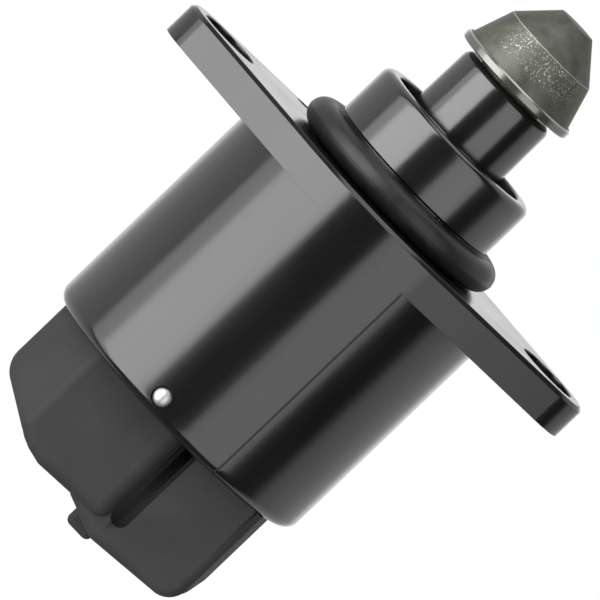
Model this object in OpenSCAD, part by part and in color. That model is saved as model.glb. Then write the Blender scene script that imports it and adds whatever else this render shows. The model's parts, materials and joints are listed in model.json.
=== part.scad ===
// Idle air control valve: a stepper motor that screws a metering pintle in and out.
// The origin is midway between the two bolt holes, on the flange's mounting face.
// +Z runs along the valve towards the pintle, +X towards a bolt hole, and +Y
// towards the mouth of the connector. All sizes are in millimetres.

/* [Flange and body] */
// Outside diameter of the body
body_d = 32; // [31:0.25:34]
// Length of the body behind the flange
body_l = 25.3; // [24:0.1:27]
// Radius on the rear edge of the body
body_round = 1.35; // [0.8:0.05:1.6]
// Thickness of the body's side wall
body_wall = 2.2; // [1.9:0.1:2.5]
// Thickness of the wall that closes the front of the motor space
front_wall = 5.6; // [5:0.1:6.5]
// Thickness of the flange
flange_t = 3.7; // [3:0.1:4.5]
// Distance between the two bolt holes
hole_span = 44.5; // [43:0.25:48]
// Diameter of a bolt hole
hole_d = 6.5; // [5.5:0.1:6.8]
// Radius of each end of the flange
flange_end_r = 4.95; // [4.7:0.05:6]
// Bevel around the flange's mounting face
flange_bevel = 0.4; // [0.2:0.05:0.6]
// Length of the blind keying pocket near the flange's far edge
pocket_l = 4.4; // [3:0.1:5]
// Width of the keying pocket
pocket_w = 1.5; // [1:0.1:1.8]
// Depth of the keying pocket
pocket_depth = 1.6; // [1:0.1:2.4]

/* [Pilot spigot and O-ring] */
// Outside diameter of the pilot spigot
spigot_d = 19.66; // [19:0.05:21]
// Height of the spigot above the mounting face
spigot_l = 9.5; // [8.5:0.1:11]
// Radius on the top edge of the spigot
spigot_round = 0.9; // [0.4:0.1:1.2]
// Diameter of the recess in the top of the spigot
recess_d = 16.3; // [15:0.1:16.6]
// Depth of the recess in the top of the spigot
recess_depth = 2.2; // [1.5:0.1:3]
// Thickness of the O-ring
oring_t = 3.2; // [2.6:0.1:3.4]
// Depth of the groove that the O-ring sits in
groove_depth = 0.6; // [0.4:0.1:0.9]

/* [Neck] */
// Outside diameter of the neck where it enters the spigot
neck_d = 11.5; // [11:0.1:12]
// Outside diameter of the neck at its free end
neck_tip_d = 11.25; // [10.8:0.05:11.3]
// Height of the neck above the mounting face
neck_l = 16.3; // [15.5:0.1:18]
// Chamfer on the free end of the neck
neck_chamfer = 0.35; // [0.2:0.05:0.5]
// Width of each keyway inside the neck
keyway_w = 1.3; // [1.1:0.1:1.8]
// Depth of each keyway inside the neck
keyway_depth = 0.9; // [0.6:0.1:1]

/* [Pintle and screw] */
// Gap between the neck and the pintle's rim with the pintle drawn in
pintle_gap = 0.4; // [0.3:0.1:1]
// Diameter of the pintle's rim
rim_d = 13.95; // [13.6:0.05:15]
// Thickness of the pintle's rim
rim_t = 0.95; // [0.7:0.05:1.4]
// Diameter of the lower cone where it meets the rim
cone_base_d = 13.15; // [12.8:0.05:13.5]
// Diameter of the ridge between the two cones
ridge_d = 10.5; // [10:0.1:11.5]
// Height of the lower cone
lower_cone_l = 4.15; // [3.5:0.05:5]
// Diameter of the flat tip
tip_d = 4.1; // [3.6:0.1:6]
// Height of the upper cone
upper_cone_l = 3.5; // [3:0.1:4.5]
// Diameter of the pintle's stem, which slides in the neck
stem_d = 7.7; // [7.3:0.1:8]
// Length of the stem below the rim
stem_l = 12.1; // [11.9:0.1:13]
// Height of the two keys on the stem
key_h = 2.8; // [2:0.1:3.2]
// Travel of the pintle from drawn in to pushed out
travel = 8; // [6:0.5:8]
// Diameter of the lead screw over its thread
screw_d = 4; // [3.6:0.1:4.2]
// Distance from the lead screw's rear end to the end of the rotor hub
screw_end_gap = 4.5; // [4.5:0.1:5.5]
// Diameter of the screw's plain front end, pressed into the pintle
screw_tip_d = 3.4; // [3:0.1:3.5]
// Length of the plain front end
screw_tip_l = 9; // [7:0.5:9]

/* [Rotor and bearings] */
// Diameter of the ring magnet as a share of the body's diameter
magnet_share = 0.4125; // [0.4:0.0025:0.415]
// Diameter of the rotor hub inside the magnet
hub_d = 8; // [7.6:0.1:8.4]
// Diameter of the hub's two journals
journal_d = 6; // [5.8:0.05:6.1]
// Length of the threaded nut at the front of the hub
nut_l = 10; // [9:0.5:11]
// Outside diameter of the front ball bearing
bearing_d = 13; // [12.8:0.1:13.2]
// Width of the front ball bearing
bearing_w = 3.5; // [3.2:0.1:3.6]
// Number of balls in the bearing
ball_count = 7; // [5:1:8]
// Diameter of a bearing ball
ball_d = 1.56; // [1.3:0.02:1.6]
// Outside diameter of the rear bush
bush_d = 9; // [8.6:0.1:10]
// Length of the rear bush
bush_l = 3.4; // [3:0.1:3.5]
// Thickness of the wave washer behind the rotor
washer_t = 0.35; // [0.25:0.05:0.4]

/* [Stator] */
// Thickness of the steel of the stator cups and plates
pole_t = 0.9; // [0.7:0.05:1]
// Thickness of a pole claw
claw_t = 0.7; // [0.5:0.05:0.8]
// Height of the collar that joins the claws at their roots
claw_collar = 0.2; // [0.1:0.1:0.6]
// Number of claws on each cup and plate
claw_count = 6; // [4:1:6]
// Width of a claw at its root
claw_root = 3; // [2.4:0.1:3]
// Width of a claw at its tip
claw_tip = 1.5; // [1:0.1:2]
// Thickness of the bobbin's walls
bobbin_wall = 0.7; // [0.5:0.05:0.8]
// Thickness of the plate that holds the bearing in
retainer_t = 0.5; // [0.4:0.05:0.7]
// Thickness of the seal between the motor and the rear cover
seal_t = 0.6; // [0.4:0.05:0.8]

/* [Rear cover and connector] */
// Depth of the plug that closes the body
plug_l = 4; // [3.8:0.1:4.2]
// Half width of the hood on its left
hood_left = 14.6; // [13.5:0.1:15]
// Place of the hood's right side
hood_right = 3.1; // [2:0.1:4]
// Distance from the valve's axis to the hood's front face
hood_front = 9.6; // [8.8:0.1:10.5]
// Height of the hood behind the body
hood_h = 12; // [11.4:0.1:12.4]
// Width of the hood's slanted left corner
hood_slant = 6; // [5:0.1:6.5]
// Edge radius of the hood's left side
hood_round = 2.2; // [1.6:0.1:2.4]
// Edge radius of the hood and the block
cover_round = 1.5; // [1:0.1:1.8]
// Width of the groove between the hood and the block
groove_w = 1.5; // [1:0.1:2]
// Depth of the groove below the front face of the block
groove_deep = 3; // [2:0.1:3.5]
// Distance from the axis to the front face of the block
block_front = 8.4; // [7.6:0.1:8.6]
// Radius of the block's lower right corner
block_round = 2.4; // [1.6:0.1:2.6]
// Width of the connector's shell
shell_w = 24; // [23:0.1:25]
// Height of the connector's shell
shell_h = 12.6; // [12.4:0.1:13.4]
// Distance from the axis to the mouth of the shell
shell_mouth = 19; // [18:0.5:24]
// Distance of the shell's middle from the valve's axis
shell_x = 1.5; // [1:0.1:2]
// Thickness of the shell's walls
shell_wall = 1.5; // [1.2:0.1:1.6]
// Depth of the socket
socket_depth = 11; // [9:0.5:11.5]
// Width of the latch wedge
latch_w = 3.1; // [2.5:0.1:5]
// Height of the latch wedge
latch_h = 2.9; // [2:0.1:3.2]
// Width of a contact blade
blade_w = 2.8; // [2:0.1:3]
// Thickness of a contact blade
blade_t = 0.8; // [0.6:0.1:0.9]
// Distance between neighbouring blades
blade_pitch = 5; // [4.4:0.1:5]
// Distance from the blade tips to the mouth
blade_setback = 2.5; // [1.5:0.5:4]
// Diameter of the locking pin
pin_d = 2.1; // [1.6:0.1:2.2]
// Distance of the locking pin from the body's rear edge
pin_inset = 1.95; // [1.7:0.05:2.1]
// Angle of the locking pin around the body
pin_angle = 265.3; // [255:0.1:285]

/* [Hidden] */
$fn = 96;

// Clearances
fit_gap = 0.02;
run_gap = 0.05;
small_gap = 0.1;
air_gap = 0.25;
over = 1;

// Places along the valve
body_r = body_d / 2;
cavity_r = body_r - body_wall;
z_cavity = -front_wall;
z_back = -(flange_t + body_l);
z_plug = z_back + plug_l;
z_seal = z_plug + seal_t;
z_retainer = z_cavity - retainer_t;
z_bearing = z_cavity + bearing_w + small_gap;
z_pintle = neck_l + pintle_gap;
z_ridge = z_pintle + rim_t + lower_cone_l;
z_tip = z_ridge + upper_cone_l;

// Stator stack: two equal halves, back to back
stack_top = z_retainer - run_gap;
stack_bottom = z_seal + run_gap;
half_l = (stack_top - stack_bottom) / 2;
z_middle = (stack_top + stack_bottom) / 2;
stator_r = cavity_r - small_gap;
magnet_d = magnet_share * body_d;
claw_in = magnet_d / 2 + air_gap;
claw_out = claw_in + claw_t;
claw_l = half_l - 2 * pole_t - claw_collar - small_gap;
bobbin_in = claw_out + small_gap;
bobbin_out = stator_r - pole_t - small_gap;
bobbin_l = half_l - 2 * pole_t - small_gap;
winding_in = bobbin_in + bobbin_wall;
winding_out = bobbin_out - 0.35;

// Rotor
magnet_end_gap = 1.8;
magnet_top = stack_top - magnet_end_gap;
magnet_bottom = stack_bottom + magnet_end_gap;
journal_r = journal_d / 2;
hub_top = z_bearing + 0.4;
hub_shoulder = z_cavity - 0.8;
bush_top = z_plug + 0.6;
bush_bottom = bush_top - bush_l;
hub_rear_shoulder = bush_top + washer_t + 0.35;
hub_bottom = bush_bottom + 0.3;
screw_back = -hub_bottom - screw_end_gap;
nut_r = screw_d / 2 + run_gap;
relief_r = screw_d / 2 + 0.4;
hub_bore_end = -(screw_back + 0.6);

// Front ball bearing
pitch_r = (journal_r + bearing_d / 2) / 2;
race_groove_r = ball_d / 2 + fit_gap;
race_land = 0.25;
inner_race_r = pitch_r - ball_d / 2 + race_land;
outer_race_r = pitch_r + ball_d / 2 - race_land;
bearing_z = z_bearing - bearing_w / 2;
cage_h = ball_d + 0.4;
cage_t = 0.8;

// Neck, stem and keys
neck_r = neck_d / 2;
guide_r = stem_d / 2 + run_gap;
keyway_r = guide_r + keyway_depth;
key_r = keyway_r - run_gap;
key_w = keyway_w - 2 * run_gap;
z_stem = z_pintle - stem_l;
keyway_top = z_stem + key_h + travel + 0.2;
z_screw_step = z_pintle + lower_cone_l - screw_tip_l;
z_screw_tip = z_screw_step + screw_tip_l;

// O-ring groove
groove_r = spigot_d / 2 - groove_depth;
oring_r = oring_t / 2;
oring_mid_r = groove_r + oring_r + run_gap;
oring_z = oring_r + run_gap;
groove_top = oring_t + 2 * run_gap + 0.2;

// Flange outline: the body's circle and two end circles with common tangents
tangent = asin((body_r - flange_end_r) / (hole_span / 2));
arm_inset = 0.03;

// Rear cover
shell_left = shell_x - shell_w / 2;
shell_right = shell_x + shell_w / 2;
shell_top = z_back - 0.4;
shell_bottom = shell_top - shell_h;
shell_start = 3;
hood_back = 6;
hood_bottom = z_back - hood_h;
socket_back = shell_mouth - socket_depth;
blade_z = (shell_top + shell_bottom) / 2 + 0.4;
blade_tip = shell_mouth - blade_setback;
leg_y = 6.2;
leg_top = z_plug + 0.1;
leg_w = 1.6;
pin_z = z_back + pin_inset;
pin_play = 0.26;
pin_out = body_r - 0.65;
pin_in = cavity_r - 2;

function blade_x(i) = shell_x + (i - 2.5) * blade_pitch;

// Points of a quarter arc about a centre, from angle a to angle b
function arc(cx, cy, r, a, b, n) =
    [for (i = [0:n]) [cx + r * cos(a + (b - a) * i / n), cy + r * sin(a + (b - a) * i / n)]];

module tube(r_in, r_out, z_low, z_high) {
    translate([0, 0, z_low]) difference() {
        cylinder(r = r_out, h = z_high - z_low);
        translate([0, 0, -over]) cylinder(r = r_in, h = z_high - z_low + 2 * over);
    }
}

module flange_outline() {
    circle(r = body_r);
    for (s = [-1, 1]) {
        translate([s * hole_span / 2, 0]) circle(r = flange_end_r);
        rotate(s > 0 ? 0 : 180) arm_outline();
    }
}

// Outline of the arm towards +X: its straight sides are the tangents, drawn in by a hair
module arm_outline() {
    big = body_r - arm_inset;
    small = flange_end_r - arm_inset;
    polygon([
        [0, 0],
        [big * sin(tangent), -big * cos(tangent)],
        [hole_span / 2 + small * sin(tangent), -small * cos(tangent)],
        [hole_span / 2, 0],
        [hole_span / 2 + small * sin(tangent), small * cos(tangent)],
        [big * sin(tangent), big * cos(tangent)]
    ]);
}

// Bevelled top slice of the arm towards +X
module bevelled_arm() {
    side_at = body_r - arm_inset;
    difference() {
        linear_extrude(flange_bevel) arm_outline();
        for (side = [-1, 1]) rotate(side * (90 - tangent)) rotate([90, 0, 0])
            linear_extrude(2 * hole_span, center = true) polygon([
                [side_at - flange_bevel - over, flange_bevel + over],
                [side_at + over, -over], [side_at + over, flange_bevel + over]
            ]);
    }
}

module flange_plate() {
    translate([0, 0, -flange_t]) linear_extrude(flange_t - flange_bevel) flange_outline();
    translate([0, 0, -flange_bevel]) {
        cylinder(r1 = body_r, r2 = body_r - flange_bevel, h = flange_bevel);
        for (s = [-1, 1]) translate([s * hole_span / 2, 0])
            cylinder(r1 = flange_end_r, r2 = flange_end_r - flange_bevel, h = flange_bevel);
        for (turn = [0, 180]) rotate(turn) bevelled_arm();
    }
}

module body_shell() {
    rotate_extrude() polygon(concat(
        [[0, -flange_t + 0.5], [0, z_back]],
        arc(body_r - body_round, z_back + body_round, body_round, -90, 0, 8),
        [[body_r, -flange_t + 0.5]]
    ));
}

module spigot() {
    rotate_extrude() polygon(concat(
        [[0, -0.5], [groove_r, -0.5], [groove_r, groove_top]],
        [[spigot_d / 2, groove_top]],
        arc(spigot_d / 2 - spigot_round, spigot_l - spigot_round, spigot_round, 0, 90, 6),
        [[0, spigot_l]]
    ));
}

// Blind pocket that lies along the flange's far edge, on the -X side
module key_pocket() {
    edge_x = -12.6;
    edge_y = body_r * cos(tangent) + (edge_x + body_r * sin(tangent)) * tan(tangent);
    rim = 0.55;
    translate([edge_x, edge_y, 0]) rotate(tangent) translate([0, -rim - pocket_w / 2, -pocket_depth])
        linear_extrude(pocket_depth + over) {
            square([pocket_l - pocket_w, pocket_w], center = true);
            for (s = [-1, 1]) translate([s * (pocket_l - pocket_w) / 2, 0]) circle(d = pocket_w);
        }
}

module housing() {
    color("#2b2c2d") difference() {
        union() {
            flange_plate();
            body_shell();
            spigot();
        }
        for (s = [-1, 1]) translate([s * hole_span / 2, 0, -flange_t - over])
            cylinder(d = hole_d, h = flange_t + 2 * over);
        translate([0, 0, z_back - over]) cylinder(r = cavity_r, h = z_cavity - z_back + over);
        translate([0, 0, z_cavity - over]) cylinder(r = bearing_d / 2 + fit_gap, h = z_bearing - z_cavity + over);
        translate([0, 0, z_cavity]) cylinder(r = neck_r + fit_gap, h = spigot_l - z_cavity + over);
        translate([0, 0, spigot_l - recess_depth]) cylinder(d = recess_d, h = recess_depth + over);
        key_pocket();
        rotate(pin_angle) translate([cavity_r - over, 0, pin_z]) rotate([0, 90, 0])
            cylinder(d = pin_d + pin_play, h = body_wall + 2 * over);
    }
}

module neck() {
    color("#2a2b2c") difference() {
        rotate_extrude() polygon([
            [guide_r, z_bearing + fit_gap], [neck_r, z_bearing + fit_gap],
            [neck_r, spigot_l - recess_depth],
            [neck_tip_d / 2, neck_l - neck_chamfer], [neck_tip_d / 2 - neck_chamfer, neck_l],
            [guide_r, neck_l]
        ]);
        intersection() {
            translate([-keyway_r - over, -keyway_w / 2, z_bearing - over])
                cube([2 * (keyway_r + over), keyway_w, keyway_top - z_bearing + over]);
            cylinder(r = keyway_r, h = 100, center = true);
        }
    }
}

module o_ring() {
    color("#1d1d1e") rotate_extrude() translate([oring_mid_r, oring_z]) circle(r = oring_r, $fn = 48);
}

module pintle() {
    color("#74766e") difference() {
        union() {
            rotate_extrude() polygon([
                [0, z_stem], [stem_d / 2, z_stem], [stem_d / 2, z_pintle],
                [rim_d / 2 - 0.15, z_pintle], [rim_d / 2, z_pintle + 0.15],
                [rim_d / 2, z_pintle + rim_t - 0.2], [rim_d / 2 - 0.2, z_pintle + rim_t],
                [cone_base_d / 2, z_pintle + rim_t], [ridge_d / 2, z_ridge],
                [tip_d / 2, z_tip], [0, z_tip]
            ]);
            intersection() {
                translate([-key_r - over, -key_w / 2, z_stem]) cube([2 * (key_r + over), key_w, key_h]);
                cylinder(r = key_r, h = 100, center = true);
            }
        }
        translate([0, 0, z_stem - over]) cylinder(r = screw_d / 2 + fit_gap, h = z_screw_step - z_stem + over);
        translate([0, 0, z_stem]) cylinder(r = screw_tip_d / 2 + fit_gap, h = z_screw_tip - z_stem + small_gap);
    }
}

module lead_screw() {
    end_chamfer = 0.5;
    color("#9b9c9a") rotate_extrude() polygon([
        [0, -screw_back], [screw_d / 2 - end_chamfer, -screw_back],
        [screw_d / 2, -screw_back + end_chamfer], [screw_d / 2, z_screw_step - fit_gap],
        [screw_tip_d / 2, z_screw_step - fit_gap], [screw_tip_d / 2, z_screw_tip], [0, z_screw_tip]
    ]);
}

module rotor_magnet() {
    color("#3c3c3e") tube(hub_d / 2 + fit_gap, magnet_d / 2, magnet_bottom, magnet_top);
}

module rotor_hub() {
    color("#d8d2bd") rotate_extrude() polygon([
        [nut_r, hub_top], [journal_r, hub_top], [journal_r, hub_shoulder], [hub_d / 2, hub_shoulder],
        [hub_d / 2, hub_rear_shoulder], [journal_r, hub_rear_shoulder], [journal_r, hub_bottom],
        [0, hub_bottom], [0, hub_bore_end], [relief_r, hub_bore_end],
        [relief_r, hub_top - nut_l], [nut_r, hub_top - nut_l]
    ]);
}

module race_groove() {
    rotate_extrude() translate([pitch_r, bearing_z]) circle(r = race_groove_r, $fn = 32);
}

module bearing_outer_race() {
    color("#b9bbbd") difference() {
        tube(outer_race_r, bearing_d / 2, z_bearing - bearing_w, z_bearing);
        race_groove();
    }
}

module bearing_inner_race() {
    color("#b9bbbd") difference() {
        tube(journal_r + fit_gap, inner_race_r, z_bearing - bearing_w, z_bearing);
        race_groove();
    }
}

module ball_ring(r) {
    for (i = [0:ball_count - 1]) rotate(i * 360 / ball_count) translate([pitch_r, 0, bearing_z])
        sphere(r = r, $fn = 32);
}

module bearing_balls() {
    color("#d5d7d9") ball_ring(ball_d / 2);
}

module bearing_cage() {
    color("#a58a4f") difference() {
        tube(pitch_r - cage_t / 2, pitch_r + cage_t / 2, bearing_z - cage_h / 2, bearing_z + cage_h / 2);
        ball_ring(ball_d / 2 + run_gap);
    }
}

module bearing_retainer() {
    color("#a9abad") tube(bearing_d / 2 - 0.7, stator_r, z_retainer, z_cavity - fit_gap);
}

// Cuts the gaps between the claws out of a sleeve that hangs from a disc at z = -pole_t
module claw_gaps() {
    chord = 2 * claw_out * sin(180 / claw_count);
    root = (chord - claw_root) / 2;
    slope = (claw_root - claw_tip) / 2 / claw_l;
    cut_l = claw_l - claw_collar + over;
    for (i = [0:claw_count - 1]) rotate((i + 0.5) * 360 / claw_count) translate([0, 0, -pole_t - claw_collar])
        rotate([90, 0, 90]) linear_extrude(claw_out + over) polygon([
            [-root, 0], [root, 0], [root + slope * cut_l, -cut_l], [-root - slope * cut_l, -cut_l]
        ]);
}

// Cup: disc, outer ring and claws, open towards -Z
module stator_cup() {
    difference() {
        rotate_extrude() polygon([
            [claw_in, 0], [stator_r, 0], [stator_r, -half_l + fit_gap],
            [stator_r - pole_t, -half_l + fit_gap], [stator_r - pole_t, -pole_t],
            [claw_out, -pole_t], [claw_out, -pole_t - claw_l], [claw_in, -pole_t - claw_l]
        ]);
        claw_gaps();
    }
}

// Plate: the disc that closes a cup at the middle of the stack, with its claws towards -Z
// and half a claw's turn away from the cup's
module stator_plate() {
    rotate(180 / claw_count) difference() {
        rotate_extrude() polygon([
            [claw_in, -fit_gap], [stator_r - pole_t - fit_gap, -fit_gap],
            [stator_r - pole_t - fit_gap, -pole_t], [claw_out, -pole_t],
            [claw_out, -pole_t - claw_l], [claw_in, -pole_t - claw_l]
        ]);
        claw_gaps();
    }
}

module stator_cup_front() {
    color("#8f9192") translate([0, 0, stack_top]) stator_cup();
}

module stator_cup_rear() {
    color("#8f9192") translate([0, 0, stack_bottom]) mirror([0, 0, 1]) stator_cup();
}

module stator_plate_front() {
    color("#9fa1a2") translate([0, 0, z_middle]) mirror([0, 0, 1]) stator_plate();
}

module stator_plate_rear() {
    color("#9fa1a2") translate([0, 0, z_middle]) stator_plate();
}

// Bobbin: a spool that fills one half of the stack, with its middle at z
module bobbin(z) {
    low = z - bobbin_l / 2;
    high = z + bobbin_l / 2;
    tube(bobbin_in, winding_in, low, high);
    tube(bobbin_in, bobbin_out, low, low + bobbin_wall);
    tube(bobbin_in, bobbin_out, high - bobbin_wall, high);
}

module winding(z) {
    inner_l = bobbin_l - 2 * bobbin_wall - 2 * fit_gap;
    tube(winding_in + fit_gap, winding_out, z - inner_l / 2, z + inner_l / 2);
}

module bobbin_front() {
    color("#e6e2d3") bobbin(z_middle + half_l / 2);
}

module bobbin_rear() {
    color("#e6e2d3") bobbin(z_middle - half_l / 2);
}

module winding_front() {
    color("#b4622d") winding(z_middle + half_l / 2);
}

module winding_rear() {
    color("#b4622d") winding(z_middle - half_l / 2);
}

module wave_washer() {
    color("#b0b2b4") tube(journal_r + small_gap, journal_r + 1.2, bush_top + fit_gap, bush_top + fit_gap + washer_t);
}

module rear_bush() {
    color("#a8834a") tube(journal_r + 0.03, bush_d / 2, bush_bottom, bush_top);
}

module cover_seal() {
    color("#252526") tube(cavity_r - 1.6, cavity_r - small_gap, z_plug + fit_gap, z_seal - fit_gap);
}

// Upright post at a corner of the cover, from the body's rear face down to a rounded foot
module corner(x, y, bottom, r) {
    translate([x, y, bottom + r]) sphere(r = r, $fn = 24);
    translate([x, y, z_back - 0.2]) cylinder(r = r, h = 0.2, $fn = 24);
}

module hood() {
    r = cover_round;
    left = -hood_left + hood_round;
    right = hood_right - r;
    front = -hood_front + r;
    foot = -hood_left + hood_slant + 2 * r + 0.5;
    hull() {
        for (y = [hood_back - hood_round, -2]) corner(left, y, hood_bottom + 2.6, hood_round);
        corner(foot - 3, front, hood_bottom + 1.1, r);
        for (y = [hood_back - r, front]) {
            corner(foot - 1.4, y, hood_bottom + 0.3, r);
            corner(foot, y, hood_bottom, r);
            corner(right, y, hood_bottom + 0.5, r);
        }
    }
}

module block() {
    r = cover_round;
    left = hood_right - 4.85 + r;
    right = shell_right - block_round;
    front = -block_front + r;
    hull() {
        corner(left, front, shell_bottom + 0.9, r);
        corner(hood_right + 0.5, front, shell_bottom - 0.45, r);
        corner(right - 2, -block_front + block_round, shell_bottom + 0.2, block_round);
        corner(right, -block_front + block_round + 2.2, shell_bottom + 0.8, block_round);
        corner(right, shell_start + r, shell_bottom + 0.4, block_round);
        corner(left, shell_start + r, shell_bottom, r);
    }
}

module shell() {
    r = 2;
    hull() for (x = [shell_left + r, shell_right - r]) for (z = [shell_bottom + r, shell_top - r])
        translate([x, shell_start, z]) rotate([-90, 0, 0])
            cylinder(r = r, h = shell_mouth - shell_start, $fn = 32);
}

module socket() {
    r = 0.8;
    hull() for (x = [shell_left + shell_wall + r, shell_right - shell_wall - r])
        for (z = [shell_bottom + shell_wall + r, shell_top - shell_wall - r])
            translate([x, socket_back, z]) rotate([-90, 0, 0])
                cylinder(r = r, h = socket_depth + over, $fn = 32);
}

module latch_wedge() {
    r = 0.8;
    intersection() {
        translate([shell_x - latch_w / 2, 0, 0]) rotate([90, 0, 90]) linear_extrude(latch_w) polygon([
            [socket_back + 0.5, shell_bottom + 0.5], [socket_back + 0.5, shell_bottom - latch_h],
            [socket_back + 3.5, shell_bottom - latch_h], [shell_mouth - 2, shell_bottom + 0.5]
        ]);
        hull() for (s = [-1, 1]) {
            translate([shell_x + s * (latch_w / 2 - r), 0, shell_bottom - latch_h + r]) rotate([-90, 0, 0])
                cylinder(r = r, h = shell_mouth, $fn = 32);
            translate([shell_x + s * (latch_w / 2 - r), 0, shell_bottom + 1]) rotate([-90, 0, 0])
                cylinder(r = r, h = shell_mouth, $fn = 32);
        }
    }
}

// Bent contact: a blade in the socket and a leg that rises to the coils, grown by a clearance
module contact(i, gap) {
    x = blade_x(i);
    translate([x - blade_w / 2 - gap, leg_y - gap, blade_z - blade_t / 2 - gap])
        cube([blade_w + 2 * gap, blade_tip - leg_y + gap, blade_t + 2 * gap]);
    translate([x - leg_w / 2 - gap, leg_y - gap, blade_z - blade_t / 2 - gap])
        cube([leg_w + 2 * gap, blade_t + 2 * gap, leg_top - blade_z + blade_t / 2 + gap + (gap > 0 ? over : 0)]);
}

module connector_housing() {
    groove_floor = -block_front + groove_deep;
    color("#333436") difference() {
        union() {
            translate([0, 0, z_back - 0.1]) cylinder(r = cavity_r - small_gap, h = plug_l + 0.1);
            hood();
            block();
            shell();
            latch_wedge();
        }
        socket();
        translate([hood_right, -hood_front - over, hood_bottom + 1.2])
            cube([groove_w, groove_floor + hood_front + over, z_back - hood_bottom - 1.2]);
        for (i = [1:4]) contact(i, fit_gap);
        translate([0, 0, bush_bottom - small_gap]) cylinder(r = bush_d / 2 + fit_gap, h = plug_l + over);
        rotate(pin_angle) translate([pin_in - small_gap, 0, pin_z]) rotate([0, 90, 0])
            cylinder(d = pin_d + 2 * fit_gap, h = body_r);
    }
}

module locking_pin() {
    color("#dcdee0") rotate(pin_angle) translate([0, 0, pin_z]) {
        translate([pin_in, 0, 0]) rotate([0, 90, 0]) cylinder(d = pin_d, h = pin_out - pin_in, $fn = 48);
        translate([pin_out, 0, 0]) sphere(d = pin_d, $fn = 48);
    }
}

module terminal(i) {
    color("#c9c3ae") contact(i, 0);
}

housing();
neck();
o_ring();
pintle();
lead_screw();
rotor_magnet();
rotor_hub();
bearing_outer_race();
bearing_inner_race();
bearing_balls();
bearing_cage();
bearing_retainer();
stator_cup_front();
stator_plate_front();
stator_plate_rear();
stator_cup_rear();
bobbin_front();
bobbin_rear();
winding_front();
winding_rear();
wave_washer();
rear_bush();
cover_seal();
connector_housing();
terminal(1);  // terminal_1
terminal(2);  // terminal_2
terminal(3);  // terminal_3
terminal(4);  // terminal_4
locking_pin();
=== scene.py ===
import bpy
import bmesh
import json
import math
import numpy as np
from mathutils import Matrix, Vector
from mathutils.geometry import delaunay_2d_cdt


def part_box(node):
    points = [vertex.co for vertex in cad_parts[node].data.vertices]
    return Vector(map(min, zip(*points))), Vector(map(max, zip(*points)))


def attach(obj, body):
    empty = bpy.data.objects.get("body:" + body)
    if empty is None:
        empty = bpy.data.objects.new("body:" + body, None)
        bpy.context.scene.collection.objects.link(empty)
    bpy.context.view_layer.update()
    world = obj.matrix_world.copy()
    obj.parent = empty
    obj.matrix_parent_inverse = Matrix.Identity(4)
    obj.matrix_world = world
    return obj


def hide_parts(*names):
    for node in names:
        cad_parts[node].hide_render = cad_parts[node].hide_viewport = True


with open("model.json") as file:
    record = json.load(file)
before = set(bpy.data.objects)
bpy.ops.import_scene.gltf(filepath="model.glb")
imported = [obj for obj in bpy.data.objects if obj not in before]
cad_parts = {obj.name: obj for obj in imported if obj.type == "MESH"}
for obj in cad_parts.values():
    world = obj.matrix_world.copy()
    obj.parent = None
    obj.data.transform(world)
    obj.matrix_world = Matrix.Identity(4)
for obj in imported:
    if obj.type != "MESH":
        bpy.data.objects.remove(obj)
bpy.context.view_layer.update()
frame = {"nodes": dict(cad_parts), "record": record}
nodes = frame["nodes"]
mm = 0.001
hair = 0.01  # millimetres that keep a test of place clear of rounding
print("frame loaded:", len(nodes), "nodes")


def roundCorners(corners, steps):
    # corners are (x, y, radius); each gives way to an arc tangent to both of its sides:
    # centre = corner + bisector * radius / sin(half angle)
    corners = np.array(corners, float)
    points, radii = corners[:, :2], corners[:, 2]
    out = []
    for i, (corner, radius) in enumerate(zip(points, radii)):
        if radius <= 0 or i in (0, len(points) - 1):
            out.append(corner[None])
            continue
        before = points[i - 1] - corner
        after = points[i + 1] - corner
        before /= np.linalg.norm(before)
        after /= np.linalg.norm(after)
        half = math.acos(np.clip(before @ after, -1, 1)) / 2
        bisector = (before + after) / np.linalg.norm(before + after)
        centre = corner + bisector * radius / math.sin(half)
        start = corner + before * radius / math.tan(half) - centre
        end = corner + after * radius / math.tan(half) - centre
        a = math.atan2(start[1], start[0])
        sweep = (math.atan2(end[1], end[0]) - a + math.pi) % (2 * math.pi) - math.pi
        t = a + sweep * np.linspace(0, 1, steps + 1)
        out.append(centre + radius * np.column_stack([np.cos(t), np.sin(t)]))
    return np.vstack(out)


def gridFaces(rows, cols, closeRows=False):
    # quads of a grid of points: rows along v, and columns along u that close on themselves
    r = np.arange(rows if closeRows else rows - 1)
    r, c = np.meshgrid(r, np.arange(cols), indexing="ij")
    nextR, nextC = (r + 1) % rows, (c + 1) % cols
    quad = np.stack([r * cols + c, r * cols + nextC, nextR * cols + nextC, nextR * cols + c], -1)
    return quad.reshape(-1, 4)


def fan(ring, centre):
    # triangles from each side of a ring to a centre point
    return np.column_stack([ring, np.roll(ring, -1), np.full(len(ring), centre)])


def closeUp(mesh, sharp=40):
    # joins the points that coincide, turns every face outwards and marks the edges that stay sharp
    nothing = 0.0005 * mm
    work = bmesh.new()
    work.from_mesh(mesh)
    bmesh.ops.remove_doubles(work, verts=work.verts, dist=nothing)
    bmesh.ops.dissolve_degenerate(work, edges=work.edges, dist=nothing)
    bmesh.ops.recalc_face_normals(work, faces=work.faces)
    work.to_mesh(mesh)
    work.free()
    mesh.polygons.foreach_set("use_smooth", np.ones(len(mesh.polygons), bool))
    mesh.set_sharp_from_angle(angle=math.radians(sharp))
    edgeOf = np.empty(len(mesh.loops), np.int32)
    mesh.loops.foreach_get("edge_index", edgeOf)
    openEdges = np.count_nonzero(np.bincount(edgeOf, minlength=len(mesh.edges)) != 2)
    print("  ", mesh.name, len(mesh.polygons), "faces,", openEdges, "open edges")


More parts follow.
